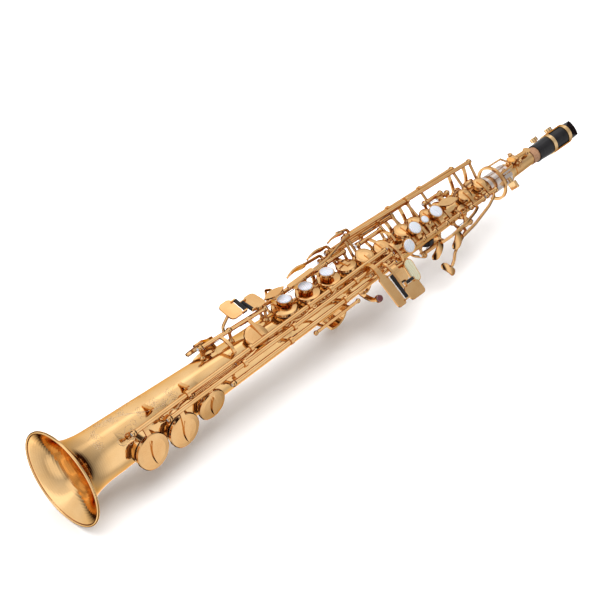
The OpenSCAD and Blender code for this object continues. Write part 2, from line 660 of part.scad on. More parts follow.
module low_csharp_key() color("goldenrod") {
    key_frame(csharp_cup_line, 130, 180, low_csharp_hole) {
        cup(low_csharp_hole);
        cup_arm(csharp_cup_line, 147, low_csharp_hole, 4.2, lean = 0.95);
        crown(low_csharp_hole, 21, 5);
        let (h = yz_of(on(csharp_cup_line, 173.5)), p = yz_of(on(csharp_line, 173.5)))
            arm(173.5, 3, [h, h + (p - h) * 0.3 + [0.2, 0.6], h + (p - h) * 0.58 + [0.2, 0.5]], 1.6);
    }
    pad(low_csharp_hole);
}

module low_csharp_lever() color("goldenrod") key_frame(csharp_line, 168, 379.7) {
    let (h = yz_of(on(csharp_cup_line, 173.5)), p = yz_of(on(csharp_line, 173.5)))
        arm(173.5, 3, [p, p + (h - p) * 0.25 + [-0.6, -2.2], p + (h - p) * 0.56 + [-0.6, -2.4]], 1.6);
    arm(372.6, 9, concat([yz_of(on(csharp_line, 372.6))], bend(on_table(-3, -2), on_table(0, 1), on_table(4, 1))));
    on_table_plane() translate([375.6, -8.2, 0]) slab(13, 12.6, 1.8, 3);
}

foot_x = 190;

module low_c_key() color("goldenrod") swung(c_line, open_low) {
    key_frame(c_line, 168, 201, low_c_hole) {
        cup(low_c_hole);
        cup_arm(c_line, 180, low_c_hole, 4.2);
        crown(low_c_hole, 20, 5);
        arm(foot_x, 3, bend(yz_of(on(c_line, foot_x)), yz(6, 33.5), yz(24, 28.4)));
        stalk(foot_x, 24, 23.8, 28.6, 1.7);
        wire([on(c_line, 196), [196.6, 12, 33.4], [209, 18, rh_plate_z - 0.4]], 1.5);
        translate([214.6, 20.5, rh_plate_z]) slab(14.6, 20, 1.7, 4.5);
        for (y = [10.4, 25.6]) translate([220, y, rh_plate_z]) cube([5.4, 1.2, 3.2]);
        translate([224.6, 11, rh_plate_z + 1.8]) rotate([-90, 0, 0]) cylinder(r = 0.7, h = 15);
    }
    pad(low_c_hole);
}

module y_roller(x, y0, y1, z, r) translate([x, y0, z]) rotate([-90, 0, 0]) difference() {
    cylinder(r = r, h = y1 - y0);
    translate([0, 0, -1]) cylinder(r = 0.76, h = y1 - y0 + 2);
}

module low_c_roller() color("black") swung(c_line, open_low)
    y_roller(224.6, 11.8, 25.4, rh_plate_z + 1.8, 1.9);

module eb_key() color("goldenrod") {
    key_frame(c_line, 201, 243, eb_hole) {
        cup(eb_hole);
        cup_arm(c_line, 223, eb_hole, 3.6, 4);
        wire([on(c_line, 236), [237.6, 11, rh_plate_z - 0.4]], 1.5);
        translate([239, 14.5, rh_plate_z]) slab(13.4, 19, 1.7, 4.5);
        for (y = [5.6, 20.2]) translate([228.4, y, rh_plate_z]) cube([6, 1.2, 3.2]);
        translate([229.4, 6, rh_plate_z + 1.8]) rotate([-90, 0, 0]) cylinder(r = 0.7, h = 15);
    }
    pad(eb_hole);
}

module eb_roller() color("black") y_roller(229.4, 7, 20, rh_plate_z + 1.8, 1.9);

// ---------------------------------------------------------------- lower stack

stack_pearl_r = 26.2; // seat of the lower-stack pearl holders

module stack_key(l, x0, x1, h, pearl_x, pearl_phi) swung(l, -open_stack) {
    key_frame(l, x0, x1, h) {
        cup(h);
        cup_arm(l, h[0] - 2, h, 5);
        stalk(pearl_x, pearl_phi, rim_r(h[0]) + 4, stack_pearl_r + 0.5, 4);
        pearl_cup(pearl_x, pearl_phi, stack_pearl_r, pearl_d);
    }
    pad(h);
}

module d_key() color("goldenrod") stack_key(rh_line, 246, 276, d_hole, 264.5, -3);
module e_key() color("goldenrod") stack_key(rh_line, 276, 305, e_hole, 290, 0);
module f_key() color("goldenrod") stack_key(rh_line, 305, 333, f_hole, 318, 0);
module d_pearl() color("ivory") swung(rh_line, -open_stack) pearl(264.5, -3, stack_pearl_r, pearl_d);
module e_pearl() color("ivory") swung(rh_line, -open_stack) pearl(290, 0, stack_pearl_r, pearl_d);
module f_pearl() color("ivory") swung(rh_line, -open_stack) pearl(318, 0, stack_pearl_r, pearl_d);

module fsharp_key() color("goldenrod") swung(rh_line, -open_stack) {
    key_frame(rh_line, 333, 358, fsharp_hole) {
        cup(fsharp_hole);
        cup_arm(rh_line, 345, fsharp_hole, 4, 4);
    }
    pad(fsharp_hole);
}

module trill_key() color("goldenrod") {
    key_frame(trill_line, 262, 336, trill_hole) {
        cup(trill_hole);
        cup_arm(trill_line, 326, trill_hole, 3.4);
        wire([on(trill_line, 268), [266, 27.5, 24], [262, 17, 33.4], [260, 11, 34.3]], 1.3);
        translate([259, 9.6, 34.6]) rotate([0, 0, 90]) leaf(25, 8.4, 1.8);
    }
    pad(trill_hole);
}

// ---------------------------------------------------------------- upper stack

upper_pearl_d = pearl_d - 0.6;

// Seats of the pearls: [x, phi, r, diameter]
g_seat = [409.5, 46, 24.4, upper_pearl_d];
a_seat = [428.6, 21, 22.4, upper_pearl_d];
bis_seat = [445.4, 17, 20.8, 7.4];
b_seat = [461, 17, 22.2, upper_pearl_d];

module g_key() color("goldenrod") swung(g_line, open_stack) {
    key_frame(g_line, 360, 418, g_hole, g_seat) {
        cup(g_hole);
        cup_arm(g_line, 368, g_hole, 4);
        arm(409.5, 5, [yz_of(on(g_line, 409.5)), yz(50, 24.8)]);
        pearl_cup(g_seat[0], g_seat[1], g_seat[2], g_seat[3]);
    }
    pad(g_hole);
}
module g_pearl() color("ivory") swung(g_line, open_stack) pearl(g_seat[0], g_seat[1], g_seat[2], g_seat[3]);

module gsharp_key() color("goldenrod") {
    key_frame(gsharp_line, 377, 408, gsharp_hole) {
        cup(gsharp_hole);
        cup_arm(gsharp_line, 389, gsharp_hole, 3, 5, lean = 1.2);
        arm(404.3, 2.6, bend(yz_of(on(gsharp_line, 404.3)), yz(0, 31), yz(27, 18.4), 8));
    }
    pad(gsharp_hole);
}

module gsharp_lever() color("goldenrod") key_frame(gsharp_lever_line, 382.4, 398.5) {
    arm(394.6, 2.6, bend(yz_of(on(gsharp_lever_line, 394.6)), yz(46, 31), yz(20, 23.6)));
    arm(388.5, 7, bend(yz_of(on(gsharp_lever_line, 388.5)), on_table(4, -4), on_table(8, 0.5)));
    on_table_plane() translate([389, -10, 0]) difference() {
        slab(11.4, 23.4, 2.2, 5.6);
        translate([0, 0, 0.9]) slab(9.8, 21.8, 2, 4.85);
    }
}
module gsharp_pearl() color("ivory") on_table_plane() translate([389, -10, 0.92]) {
    slab(9.7, 21.7, 1.6, 4.8);
    translate([0, 0, 1.5]) slab(8.6, 20.6, 0.6, 4.25);
}

module upper_key(x0, x1, h, xa, seat = []) {
    key_frame(lh_line, x0, x1, h, seat) {
        if (seat != []) pearl_cup(seat[0], seat[1], seat[2], seat[3]);
        cup(h);
        cup_arm(lh_line, xa, h, 3.4, 3);
        children();
    }
    pad(h);
}

module a_key() color("goldenrod") swung(lh_line, open_stack) upper_key(418, 433, a_hole, 423,
    a_seat) {
    arm(428, 5, bend(yz_of(on(lh_line, 428)), yz(44, 25), yz(24, 22.6)));
}
module a_pearl() color("ivory") swung(lh_line, open_stack) pearl(a_seat[0], a_seat[1], a_seat[2], a_seat[3]);

module bis_key() color("goldenrod") swung(lh_line, open_stack) upper_key(433, 449, bis_hole,
    439, bis_seat) {
    arm(443.4, 2.6, bend(yz_of(on(lh_line, 443.4)), yz(44, 24), yz(20, 21)));
}
module bis_pearl() color("ivory") swung(lh_line, open_stack) pearl(bis_seat[0], bis_seat[1], bis_seat[2], bis_seat[3]);

module b_key() color("goldenrod") swung(lh_line, open_stack) upper_key(449, 466, b_hole, 456,
    b_seat) {
    arm(461, 5, bend(yz_of(on(lh_line, 461)), yz(44, 25), yz(20, 22.4)));
}
module b_pearl() color("ivory") swung(lh_line, open_stack) pearl(b_seat[0], b_seat[1], b_seat[2], b_seat[3]);

module c_key() color("goldenrod") swung(lh_line, open_stack) upper_key(466, 484, c_hole, 474.5);

module front_f_key() color("goldenrod") key_frame(front_f_line, 467, 490) {
    arm(480, 3, bend(yz_of(on(front_f_line, 480)), yz(-8, 25.6), yz(10, 24)));
    at(480.5, 14, 23.2) rotate([0, 0, 78]) leaf(24, 9, 1.6);
}

module vent_key() color("goldenrod") {
    key_frame(vent_line, 492, 504) {
        at(vent_hole[0], vent_hole[1], rim_r(vent_hole[0]) + 1.6) cylinder(r = 3.4, h = 1.6);
        arm(498, 3, bend(yz_of(on(vent_line, 498)), yz(-34, 17), yz(-22, rim_r(498) + 2.6)));
    }
    at(vent_hole[0], vent_hole[1], rim_r(vent_hole[0]) + 0.08) cylinder(r = 2.8, h = 1.5);
}

// ---------------------------------------------------------------- palm and side keys

module small_key(l, h, xa, w = 3.4) {
    key_frame(l, l[0][0], l[1][0], h) {
        cup(h);
        cup_arm(l, xa, h, w, 3);
        children();
    }
    pad(h);
}

module palm_d_key() color("goldenrod") small_key(palm_d_line, palm_d_hole, 494.5) {
    wire([on(palm_d_line, 490.5), beside(palm_d_line, 489.5, 95), [480, -28, -7],
        [468, -33, -7], [459, -36, -10], [455, -39, -15], [451, -40, -19]], 1.5);
    translate([448.5, -40.5, -22]) rotate([64, 0, 0]) rotate([0, 0, 36]) spoon(7, 19, 18);
}

module palm_eb_key() color("goldenrod") small_key(palm_eb_line, palm_eb_hole, 511) {
    wire([on(palm_eb_line, 509.5), beside(palm_eb_line, 508.5, 80), [498, -27, 12.5],
        [478, -33, 14.5], [452, -36, 14.5],
        [440, -34.4, 12.6]], 1.5);
    translate([433, -38, 9.4]) rotate([62, 0, 0]) rotate([0, 0, -52]) spoon(7.6, 20, 18);
}

module palm_f_key() color("goldenrod") small_key(palm_f_line, palm_f_hole, 534) {
    wire([on(palm_f_line, 538), beside(palm_f_line, 535, 90), [520, -27, 8], [492, -33, 5],
        [470, -36.5, 4.6]], 1.5);
    translate([462.5, -37.4, 3.6]) rotate([66, 0, 0]) rotate([0, 0, -42]) spoon(9.4, 18, 18);
}

module side_bb_key() color("goldenrod") small_key(side_bb_line, side_bb_hole, 430) {
    wire([on(side_bb_line, 347.5), beside(side_bb_line, 346.5, -60), [338, 34.5, 14.5],
        [324, 34, 16], [314, 34, 18.4]], 1.5);
    translate([309, 33.6, 19.6]) rotate([-66, 0, 0]) rotate([0, 0, 90]) spoon(9, 24, 30);
}

module side_c_key() color("goldenrod") small_key(side_c_line, side_c_hole, 450) {
    wire([on(side_c_line, 355.5), beside(side_c_line, 354.5, -50), [346, 34, 21.4],
        [339, 33, 23.4]], 1.5);
    translate([335, 33.4, 25]) rotate([-62, 0, 0]) rotate([0, 0, 90]) spoon(9, 22, 30);
}

module side_e_key() color("goldenrod") small_key(side_e_line, side_e_hole, 519) {
    wire([on(side_e_line, 379.5), beside(side_e_line, 378.5, -38), [369, 31.5, 29.4],
        [364, 31, 31.5]], 1.5);
    translate([360, 31, 31]) rotate([-56, 0, 0]) rotate([0, 0, 90]) spoon(9, 21, 30);
}

module high_fsharp_key() color("goldenrod") small_key(high_fsharp_line, high_fsharp_hole, 534) {
    wire([on(high_fsharp_line, 371), beside(high_fsharp_line, 370, 35), [360, 19, 32.6],
        [330, 10, 34], [304, 7.4, 34.6]], 1.3);
    translate([290, 6.8, 34.4]) rotate([0, 0, 93]) slab(5, 34, 2.2, 2);
}

module octave_lever() color("goldenrod") key_frame(octave_line, 442, 470) {
    arm(464, 4, bend(yz_of(on(octave_line, 464)), yz(168, 24.6), yz(188, 21)));
    at(470.5, 184, 21.6) rotate([0, 0, 90]) spoon(12, 19, 20);
    wire([on(octave_line, 447), beside(octave_line, 446, 160), [438, -4, -20.5], [434, 6, -17.6]], 1.3);
}

// ---------------------------------------------------------------- nodes

bell();
body_tube();
key_posts();
hinge_rods();
neck_receiver();
receiver_screw();
thumb_hook();
thumb_rest();
strap_ring();
felt_bumpers();
neck_tube();
neck_cork();
neck_key_saddle();
neck_octave_key();
mouthpiece();
reed();
ligature();
ligature_screw_rear();
ligature_screw_front();
low_bb_key();
low_bb_roller();
low_b_key();
low_b_roller();
low_csharp_key();
low_csharp_lever();
low_c_key();
low_c_roller();
eb_key();
eb_roller();
d_key();
d_pearl();
e_key();
e_pearl();
f_key();
f_pearl();
fsharp_key();
trill_key();
g_key();
g_pearl();
gsharp_key();
gsharp_lever();
gsharp_pearl();
a_key();
a_pearl();
bis_key();
bis_pearl();
b_key();
b_pearl();
c_key();
front_f_key();
vent_key();
palm_d_key();
palm_eb_key();
palm_f_key();
side_bb_key();
side_c_key();
side_e_key();
high_fsharp_key();
octave_lever();
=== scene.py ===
import json
import math

import bmesh
import bpy
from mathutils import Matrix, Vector
from mathutils.bvhtree import BVHTree

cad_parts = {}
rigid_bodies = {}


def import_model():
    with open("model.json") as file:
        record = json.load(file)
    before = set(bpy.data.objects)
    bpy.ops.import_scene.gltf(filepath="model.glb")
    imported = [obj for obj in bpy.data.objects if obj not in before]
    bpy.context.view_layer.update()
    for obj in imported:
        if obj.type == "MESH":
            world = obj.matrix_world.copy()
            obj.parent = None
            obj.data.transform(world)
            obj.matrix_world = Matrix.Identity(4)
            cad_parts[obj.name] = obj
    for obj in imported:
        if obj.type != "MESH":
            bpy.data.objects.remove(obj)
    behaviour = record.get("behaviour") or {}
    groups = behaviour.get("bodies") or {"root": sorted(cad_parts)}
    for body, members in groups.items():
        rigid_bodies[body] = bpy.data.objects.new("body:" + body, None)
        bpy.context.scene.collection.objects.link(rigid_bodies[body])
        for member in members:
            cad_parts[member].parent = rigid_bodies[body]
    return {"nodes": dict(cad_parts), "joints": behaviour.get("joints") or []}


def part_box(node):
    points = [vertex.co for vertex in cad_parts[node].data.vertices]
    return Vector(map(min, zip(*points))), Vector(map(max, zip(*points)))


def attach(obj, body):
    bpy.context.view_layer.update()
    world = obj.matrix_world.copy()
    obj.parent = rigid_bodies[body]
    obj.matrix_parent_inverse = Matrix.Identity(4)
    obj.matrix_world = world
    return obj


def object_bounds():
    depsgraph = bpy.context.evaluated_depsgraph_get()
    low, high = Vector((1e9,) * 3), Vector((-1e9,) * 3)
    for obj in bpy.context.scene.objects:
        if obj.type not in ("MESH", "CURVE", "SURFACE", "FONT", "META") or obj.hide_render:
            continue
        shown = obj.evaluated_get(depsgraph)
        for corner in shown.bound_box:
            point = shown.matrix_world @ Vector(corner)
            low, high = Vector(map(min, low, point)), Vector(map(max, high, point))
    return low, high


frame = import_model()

cad_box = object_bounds()
floor_z = cad_box[0][2]
MM = 0.001
SKY = 1.66 # strength of the studio's light
KEY_WATTS = 52 # power of the one lamp
UNLIT = (0.022, 0.005, 0.001) # the dark parts of the room, as the brass reflects them
NODES = frame["nodes"]


# ---------------------------------------------------------------- materials

def material(name, colour, metallic=0.0, rough=0.4, coat=0.0, coat_rough=0.05, ior=1.5):
    m = bpy.data.materials.new(name)
    m.use_nodes = True
    nt = m.node_tree
    b = nt.nodes["Principled BSDF"]
    b.inputs["Base Color"].default_value = (*colour, 1)
    b.inputs["Metallic"].default_value = metallic
    b.inputs["Roughness"].default_value = rough
    b.inputs["Coat Weight"].default_value = coat
    b.inputs["Coat Roughness"].default_value = coat_rough
    b.inputs["IOR"].default_value = ior
    return m, nt, b


def coords(nt, scale=(1, 1, 1)):
    tc = nt.nodes.new("ShaderNodeTexCoord")
    mp = nt.nodes.new("ShaderNodeMapping")
    mp.inputs["Scale"].default_value = scale
    nt.links.new(tc.outputs["Object"], mp.inputs["Vector"])
    return mp.outputs["Vector"]


def noise(nt, vec, scale, detail=3.0, rough=0.5):
    n = nt.nodes.new("ShaderNodeTexNoise")
    n.inputs["Scale"].default_value = scale
    n.inputs["Detail"].default_value = detail
    n.inputs["Roughness"].default_value = rough
    nt.links.new(vec, n.inputs["Vector"])
    return n.outputs["Fac"]


def ramp(nt, fac, stops):
    r = nt.nodes.new("ShaderNodeValToRGB")
    el = r.color_ramp.elements
    while len(el) < len(stops):
        el.new(0.5)
    for e, (pos, col) in zip(el, stops):
        e.position = pos
        e.color = col if len(col) == 4 else (*col, 1)
    nt.links.new(fac, r.inputs["Fac"])
    return r.outputs["Color"]


def grey(v):
    return (v, v, v)


def bump(nt, bsdf, height, strength, distance=0.0002):
    b = nt.nodes.new("ShaderNodeBump")
    b.inputs["Strength"].default_value = strength
    b.inputs["Distance"].default_value = distance
    nt.links.new(height, b.inputs["Height"])
    nt.links.new(b.outputs["Normal"], bsdf.inputs["Normal"])


def gold(name, pale, deep, rough, edge=(0.62, 0.24, 0.06), peel=0.12):
    """Polished brass under clear lacquer: small drifts of colour and of polish."""
    m, nt, b = material(name, pale, 1.0, rough)
    b.inputs["Specular Tint"].default_value = (*edge, 1) # its colour where it is seen at a slant; the deep brown default is painted shade, standing in for the dark that reflections between parts bring
    v = coords(nt)
    c = ramp(nt, noise(nt, v, 60, 4), [(0.3, deep), (0.7, pale)])
    nt.links.new(c, b.inputs["Base Color"])
    r = ramp(nt, noise(nt, v, 420, 5, 0.6), [(0.3, grey(rough * 0.75)), (0.75, grey(rough * 1.5))])
    nt.links.new(r, b.inputs["Roughness"])
    bump(nt, b, noise(nt, v, 260, 2), peel, 0.00008)
    return m


MAT = {}
MAT["body"] = gold("gold_lacquer_body", (0.80, 0.52, 0.25), (0.75, 0.46, 0.20), 0.09,
    (0.85, 0.56, 0.32))
# painted shade: the keys get a darker copy of the body's brass and a deep-brown slant colour, standing
# in for the dark of reflections among the keywork
MAT["keys"] = gold("gold_lacquer_keys_painted_shade", (0.74, 0.46, 0.215), (0.66, 0.37, 0.15), 0.10)
MAT["gilt"] = gold("gilt_brass", (0.88, 0.62, 0.34), (0.82, 0.54, 0.26), 0.16)
MAT["cut"] = gold("engraved_brass", (0.90, 0.70, 0.46), (0.84, 0.62, 0.38), 0.42)
MAT["amber"] = material("amber_enamel", (0.55, 0.24, 0.03), 0.0, 0.12, 0.8)[0]


def nickel():
    m, nt, b = material("nickel_plate", (0.66, 0.57, 0.52), 1.0, 0.13)
    v = coords(nt, (1, 8, 8))
    r = ramp(nt, noise(nt, v, 300, 4), [(0.3, grey(0.09)), (0.8, grey(0.22))])
    nt.links.new(r, b.inputs["Roughness"])
    bump(nt, b, noise(nt, v, 500, 2), 0.06, 0.00005)
    return m


def steel():
    m, nt, b = material("hinge_steel", (0.60, 0.60, 0.62), 1.0, 0.25)
    v = coords(nt, (6, 60, 60))
    r = ramp(nt, noise(nt, v, 400, 3), [(0.3, grey(0.18)), (0.8, grey(0.36))])
    nt.links.new(r, b.inputs["Roughness"])
    bump(nt, b, noise(nt, v, 900, 2), 0.1, 0.00003)
    return m


def nacre(name, deep, mid, pale):
    """Mother-of-pearl: pale drifting bands with a slight play of colour."""
    m, nt, b = material(name, pale, 0.0, 0.14, 0.6, 0.05)
    v = coords(nt)
    wave = nt.nodes.new("ShaderNodeTexWave")
    wave.inputs["Scale"].default_value = 90
    wave.inputs["Distortion"].default_value = 9
    wave.inputs["Detail"].default_value = 3
    nt.links.new(v, wave.inputs["Vector"])
    c = ramp(nt, wave.outputs["Fac"], [(0.0, deep), (0.35, pale), (0.6, mid), (0.8, pale), (1.0, deep)])
    nt.links.new(c, b.inputs["Base Color"])
    b.inputs["Subsurface Weight"].default_value = 0.15
    b.inputs["Subsurface Scale"].default_value = 0.002
    b.inputs["Sheen Weight"].default_value = 0.1
    bump(nt, b, noise(nt, v, 500, 3), 0.05, 0.0001)
    return m


def black(name, rough, bumps=0.04):
    m, nt, b = material(name, (0.006, 0.006, 0.007), 0.0, rough, 0.1, 0.08, 1.3)
    v = coords(nt)
    r = ramp(nt, noise(nt, v, 300, 4), [(0.3, grey(rough * 0.8)), (0.8, grey(rough * 1.35))])
    nt.links.new(r, b.inputs["Roughness"])
    c = ramp(nt, noise(nt, v, 120, 3), [(0.35, (0.004, 0.004, 0.005)), (0.7, (0.010, 0.009, 0.010))])
    nt.links.new(c, b.inputs["Base Color"])
    bump(nt, b, noise(nt, v, 900, 2), bumps, 0.0001)
    return m


def cork():
    m, nt, b = material("cork", (0.62, 0.42, 0.25), 0.0, 0.85)
    v = coords(nt)
    vor = nt.nodes.new("ShaderNodeTexVoronoi")
    vor.inputs["Scale"].default_value = 900
    nt.links.new(v, vor.inputs["Vector"])
    c = ramp(nt, noise(nt, v, 900, 5), [(0.3, (0.13, 0.06, 0.03)), (0.42, (0.27, 0.14, 0.075)),
        (0.7, (0.36, 0.20, 0.115))])
    nt.links.new(c, b.inputs["Base Color"])
    bump(nt, b, vor.outputs["Distance"], 0.4, 0.0002)
    return m


def cane():
    m, nt, b = material("reed_cane", (0.80, 0.64, 0.38), 0.0, 0.5)
    v = coords(nt, (4, 90, 90))
    c = ramp(nt, noise(nt, v, 60, 4), [(0.3, (0.46, 0.31, 0.14)), (0.7, (0.62, 0.46, 0.25))])
    nt.links.new(c, b.inputs["Base Color"])
    bump(nt, b, noise(nt, v, 90, 2), 0.2, 0.0001)
    return m


def felt():
    m, nt, b = material("felt", (0.30, 0.03, 0.05), 0.0, 0.95)
    b.inputs["Sheen Weight"].default_value = 0.5
    v = coords(nt)
    c = ramp(nt, noise(nt, v, 1500, 4), [(0.3, (0.06, 0.005, 0.008)), (0.7, (0.14, 0.014, 0.022))])
    nt.links.new(c, b.inputs["Base Color"])
    bump(nt, b, noise(nt, v, 2500, 3), 0.6, 0.0003)
    return m


def leather():
    m, nt, b = material("pad_leather", (0.50, 0.28, 0.14), 0.0, 0.6)
    v = coords(nt)
    vor = nt.nodes.new("ShaderNodeTexVoronoi")
    vor.inputs["Scale"].default_value = 1300
    nt.links.new(v, vor.inputs["Vector"])
    c = ramp(nt, noise(nt, v, 500, 4), [(0.3, (0.24, 0.11, 0.045)), (0.7, (0.40, 0.21, 0.10))])
    nt.links.new(c, b.inputs["Base Color"])
    bump(nt, b, vor.outputs["Distance"], 0.3, 0.0002)
    return m


MAT["nickel"] = nickel()
MAT["steel"] = steel()
MAT["nacre"] = nacre("nacre", (0.34, 0.38, 0.43), (0.43, 0.43, 0.52), (0.55, 0.54, 0.57))
MAT["cream"] = nacre("cream_pearl", (0.37, 0.34, 0.22), (0.43, 0.40, 0.27), (0.49, 0.46, 0.33))
MAT["ebonite"] = black("ebonite", 0.12)
MAT["roller"] = black("black_roller_resin", 0.18)
MAT["thumb"] = black("thumb_rest_resin", 0.35, 0.15)
MAT["cork"] = cork()
MAT["cane"] = cane()
MAT["felt"] = felt()
MAT["leather"] = leather()

BY_NODE = {"bell": "body", "body_tube": "body", "neck_tube": "body", "hinge_rods": "steel",
    "neck_receiver": "nickel", "receiver_screw": "gilt", "ligature": "gilt",
    "ligature_screw_rear": "gilt", "ligature_screw_front": "gilt", "mouthpiece": "ebonite",
    "thumb_rest": "thumb", "gsharp_pearl": "cream", "reed": "cane", "neck_cork": "cork",
    "felt_bumpers": "felt"}
for name, obj in NODES.items():
    key = BY_NODE.get(name)
    if key is None:
        key = "nacre" if name.endswith("_pearl") else "roller" if name.endswith("_roller") else "keys"
    obj.data.materials.clear()
    obj.data.materials.append(MAT[key])
    for p in obj.data.polygons:
        p.material_index = 0


# ---------------------------------------------------------------- pads in leather

def islands(me):
    """Face lists of the separate shells of a mesh, with vertices at one place taken as one."""
    spot, first = {}, {}
    for v in me.vertices:
        k = tuple(round(c, 6) for c in v.co)
        spot[v.index] = first.setdefault(k, v.index)
    up = {i: i for i in set(spot.values())}

    def root(i):
        while up[i] != i:
            up[i] = up[up[i]]
            i = up[i]
        return i
    for p in me.polygons:
        a = root(spot[p.vertices[0]])
        for j in p.vertices[1:]:
            up[root(spot[j])] = a
    out = {}
    for p in me.polygons:
        out.setdefault(root(spot[p.vertices[0]]), []).append(p)
    return list(out.values())


for name, obj in NODES.items():
    if not name.endswith("_key"):
        continue
    shells = islands(obj.data)
    if len(shells) < 2:
        continue
    biggest = max(shells, key=lambda s: sum(p.area for p in s))
    obj.data.materials.append(MAT["leather"])
    for s in shells:
        if s is not biggest:
            for p in s:
                p.material_index = 1


# ---------------------------------------------------------------- helpers for new pieces

def piece(name, bm, mat, body, smooth=True):
    me = bpy.data.meshes.new(name)
    bm.normal_update()
    bm.to_mesh(me)
    bm.free()
    for p in me.polygons:
        p.use_smooth = smooth
    o = bpy.data.objects.new(name, me)
    bpy.context.scene.collection.objects.link(o)
    me.materials.append(mat)
    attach(o, body)
    return o


def frame_of(axis):
    z = Vector(axis).normalized()
    x = z.orthogonal().normalized()
    return x, z.cross(x), z


def turned(bm, at, axis, profile, n=24):
    """Adds a turned solid: profile is [(radius, height)], from the axis out and back to it."""
    x, y, z = frame_of(axis)
    rings = []
    for r, h in profile:
        if r < 1e-7:
            rings.append([bm.verts.new(at + z * h)])
        else:
            rings.append([bm.verts.new(at + z * h + (x * math.cos(2 * math.pi * i / n)
                + y * math.sin(2 * math.pi * i / n)) * r) for i in range(n)])
    for a, b in zip(rings, rings[1:]):
        for i in range(n):
            j = (i + 1) % n
            q = [a[i % len(a)], a[j % len(a)], b[j % len(b)], b[i % len(b)]]
            q = [v for k, v in enumerate(q) if v not in q[:k]]
            if len(q) > 2:
                bm.faces.new(q)


def tube_along(bm, pts, radius, n=8):
    """Adds a round rod along points, closed at both ends; radius is a number or one per point."""
    rs = radius if isinstance(radius, list) else [radius] * len(pts)
    rings, up = [], None
    for i, p in enumerate(pts):
        d = (pts[min(i + 1, len(pts) - 1)] - pts[max(i - 1, 0)]).normalized()
        up = d.orthogonal().normalized() if up is None else (up - d * up.dot(d)).normalized()
        w = d.cross(up)
        rings.append([bm.verts.new(p + (up * math.cos(2 * math.pi * k / n)
            + w * math.sin(2 * math.pi * k / n)) * rs[i]) for k in range(n)])
    for a, b in zip(rings, rings[1:]):
        for k in range(n):
            bm.faces.new((a[k], a[(k + 1) % n], b[(k + 1) % n], b[k]))
    bm.faces.new(list(reversed(rings[0])))
    bm.faces.new(rings[-1])


# ---------------------------------------------------------------- engraving on the bell

shell = bmesh.new()
for name in ("bell", "body_tube"):
    shell.from_mesh(NODES[name].data)
surface = BVHTree.FromBMesh(shell)
shell.free()


def on_bell(x, s):
    """The outer surface at x mm along the bore and s mm round it, and its outward normal."""
    r = 0.024
    for _ in range(3):
        a = s * MM / r
        out = Vector((0, math.sin(a), math.cos(a)))
        hit = surface.ray_cast(Vector((x * MM, 0, 0)) + out * 0.08, -out)
        if hit[0] is None:
            return None
        r = math.hypot(hit[0].y, hit[0].z)
    n = hit[1] if hit[1].dot(out) > 0 else -hit[1]
    return hit[0], n


def ribbon(bm, pts, width):
    """A fine raised burr along points [(x, s)] in mm, as wide as width at its middle."""
    rows = []
    n = len(pts)
    for i, (x, s) in enumerate(pts):
        got = on_bell(x, s)
        if got is None:
            return
        p, nrm = got
        a, b = on_bell(*pts[max(i - 1, 0)]), on_bell(*pts[min(i + 1, n - 1)])
        if a is None or b is None:
            return
        side = (b[0] - a[0]).cross(nrm).normalized()
        w = width * MM / 2 * (0.25 + 0.75 * math.sin(math.pi * (i + 0.5) / n))
        rows.append([bm.verts.new(p + side * w - nrm * 0.02 * MM),
            bm.verts.new(p + nrm * 0.07 * MM), bm.verts.new(p - side * w - nrm * 0.02 * MM),
            bm.verts.new(p - nrm * 0.08 * MM)])
    for a, b in zip(rows, rows[1:]):
        for k in range(4):
            bm.faces.new((a[k], a[(k + 1) % 4], b[(k + 1) % 4], b[k]))
    bm.faces.new(list(reversed(rows[0])))
    bm.faces.new(rows[-1])


def spiral(cx, cy, r, start, turns, way, n=26):
    out = []
    for i in range(n):
        t = i / (n - 1)
        a = math.radians(start) + way * turns * 2 * math.pi * t
        q = r * (1 - 0.82 * t)
        out.append((cx + q * math.cos(a), cy + q * math.sin(a)))
    return out


def leaf_lines(x, s, way, length, width, n=9):
    """Outline and midrib of a leaf that grows from (x, s) in direction way (degrees)."""
    c, d = math.cos(math.radians(way)), math.sin(math.radians(way))

    def put(u, v):
        return (x + u * c - v * d, s + u * d + v * c)

    def edge(sign):
        return [put(length * t, sign * width * math.sin(math.pi * t ** 0.8))
            for t in (i / (n - 1) for i in range(n))]
    return [edge(1), edge(-1), [put(length * 0.9 * i / 4, 0) for i in range(5)]]


bm = bmesh.new()
stem = [(30 + i * 1.6, -2 + 9 * math.sin(i * 0.105)) for i in range(62)]
ribbon(bm, stem, 0.9)
for i in range(4, 60, 7):
    x, s = stem[i]
    up = 1 if (i // 7) % 2 else -1
    for l in leaf_lines(x, s, up * 55, 9.5, 2.3):
        ribbon(bm, l, 0.5)
    for l in leaf_lines(x + 2, s, up * 110, 7.5, 1.9):
        ribbon(bm, l, 0.45)
    for l in leaf_lines(x + 1, s, -up * 40, 6.5, 1.7):
        ribbon(bm, l, 0.45)
for k, (x, s) in enumerate(((42, 15), (66, -16), (92, 15), (114, -15), (54, -17), (80, 17))):
    way = 1 if k % 2 else -1
    ribbon(bm, spiral(x, s, 7.5, 40 * k, 1.6, way), 0.7)
    ribbon(bm, spiral(x + 7, s + 6 * way, 3.6, 200 + 30 * k, 1.3, -way, 16), 0.5)
for x, s in ((58, 7), (100, -5), (34, -10)):
    for k in range(7):
        for l in leaf_lines(x, s, 360 / 7 * k, 5.4, 1.3, 7)[:2]:
            ribbon(bm, l, 0.45)
piece("bell_engraving", bm, MAT["cut"], "body")


# ---------------------------------------------------------------- badge on the octave key

